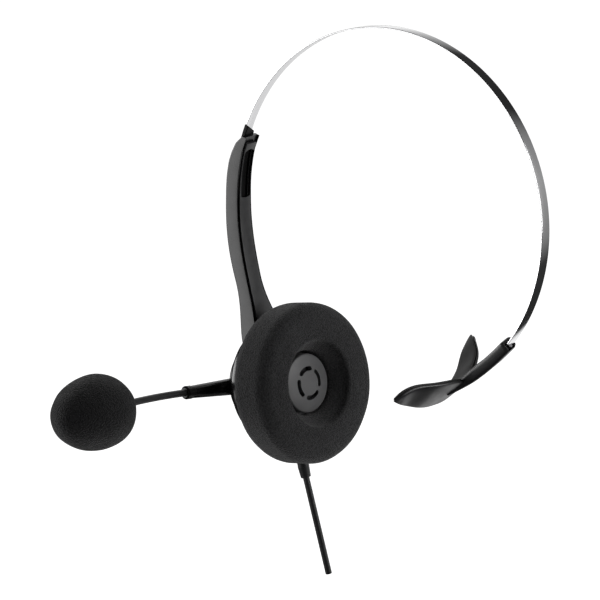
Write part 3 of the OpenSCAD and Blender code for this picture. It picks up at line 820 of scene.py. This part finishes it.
def reflector_material():
    """Glows by the angle around the Y axis, as the REFLECTOR stops say."""
    material = glow_material("reflector")
    tree = material.node_tree
    where = tree.nodes.new("ShaderNodeTexCoord")
    swing = tree.nodes.new("ShaderNodeMapping")
    swing.inputs["Rotation"].default_value = (-pi / 2, 0, 0)
    ramp_in = tree.nodes.new("ShaderNodeTexGradient")
    ramp_in.gradient_type = "RADIAL"
    ramp = tree.nodes.new("ShaderNodeValToRGB")
    tree.links.new(where.outputs["Object"], swing.inputs["Vector"])
    tree.links.new(swing.outputs["Vector"], ramp_in.inputs["Vector"])
    tree.links.new(ramp_in.outputs["Fac"], ramp.inputs["Fac"])
    tree.links.new(ramp.outputs["Color"], tree.nodes["Emission"].inputs["Color"])
    elements = ramp.color_ramp.elements
    for angle, level in REFLECTOR[1:-1]:
        elements.new((angle + 180) / 360)
    for element, (angle, level) in zip(elements, REFLECTOR):
        element.color = (level, level, level, 1)
    return material


def build_reflector():
    """A ring-shaped card behind the headband, which only the reflections see."""
    steps, behind, radii = 96, 100, (34, 210)
    turns = [2 * pi * k / steps for k in range(steps)]
    verts = [(r * cos(a), behind, r * sin(a)) for a in turns for r in radii]
    n = len(verts)
    faces = [(k, k + 1, (k + 3) % n, (k + 2) % n) for k in range(0, n, 2)]
    card = piece("reflector", verts, faces)
    card.data.materials.append(reflector_material())
    card.visible_camera = False
    card.visible_diffuse = False
    card.visible_shadow = False
    card.visible_transmission = False


AIM = Vector((-41.7, 0, -38.7))
TOWARDS_CAMERA = Vector((0.5683, -0.798, 0.1996))
CAMERA_DISTANCE, LENS, SENSOR = 4200, 668, 36
LIGHT_DISTANCE = 900


def area_light(name, direction, size, power):
    """A square softbox that faces the middle of the headset."""
    light = bpy.data.lights.new(name, "AREA")
    light.energy = power
    light.size = size * MM
    obj = bpy.data.objects.new(name, light)
    bpy.context.scene.collection.objects.link(obj)
    away = Vector(direction).normalized()
    obj.location = (AIM + away * LIGHT_DISTANCE) * MM
    obj.rotation_euler = away.to_track_quat("Z", "Y").to_euler()


def build_camera():
    """The camera, placed and aimed to match the photo's view."""
    data = bpy.data.cameras.new("camera")
    data.lens = LENS
    data.sensor_width = SENSOR
    data.clip_end = 100
    camera = bpy.data.objects.new("camera", data)
    bpy.context.scene.collection.objects.link(camera)
    camera.location = (AIM + TOWARDS_CAMERA * CAMERA_DISTANCE) * MM
    camera.rotation_euler = TOWARDS_CAMERA.to_track_quat("Z", "Y").to_euler()
    bpy.context.scene.camera = camera


def build_world():
    """Dim surroundings, lighter in front than behind."""
    world = bpy.data.worlds.new("studio")
    bpy.context.scene.world = world
    world.use_nodes = True
    tree = world.node_tree
    where = tree.nodes.new("ShaderNodeTexCoord")
    behind = tree.nodes.new("ShaderNodeVectorMath")
    behind.operation = "DOT_PRODUCT"
    behind.inputs[1].default_value = (-0.35, 0.93, 0.1)
    fall = tree.nodes.new("ShaderNodeMapRange")
    for key, value in (("From Min", -0.6), ("From Max", 0.45), ("To Min", 0.0315), ("To Max", 0.0025)):
        fall.inputs[key].default_value = value
    # The camera sees a plain pale background, whatever the light from that side
    pick = tree.nodes.new("ShaderNodeMix")
    pick.inputs["B"].default_value = 1.0
    seen = tree.nodes.new("ShaderNodeLightPath")
    tree.links.new(where.outputs["Generated"], behind.inputs[0])
    tree.links.new(behind.outputs["Value"], fall.inputs["Value"])
    tree.links.new(seen.outputs["Is Camera Ray"], pick.inputs["Factor"])
    tree.links.new(fall.outputs["Result"], pick.inputs["A"])
    tree.nodes["Background"].inputs["Color"].default_value = (1, 1, 1, 1)
    tree.links.new(pick.outputs["Result"], tree.nodes["Background"].inputs["Strength"])
    bpy.context.scene.view_settings.view_transform = "Standard"


build_floor()
build_reflector()
build_camera()
build_world()
area_light("side_box", (-0.57, -0.80, -0.20), 560, 2.9)
area_light("left_box", (-0.93, -0.34, 0.12), 500, 5)
area_light("right_box", (0.90, 0.25, 0.20), 600, 6)
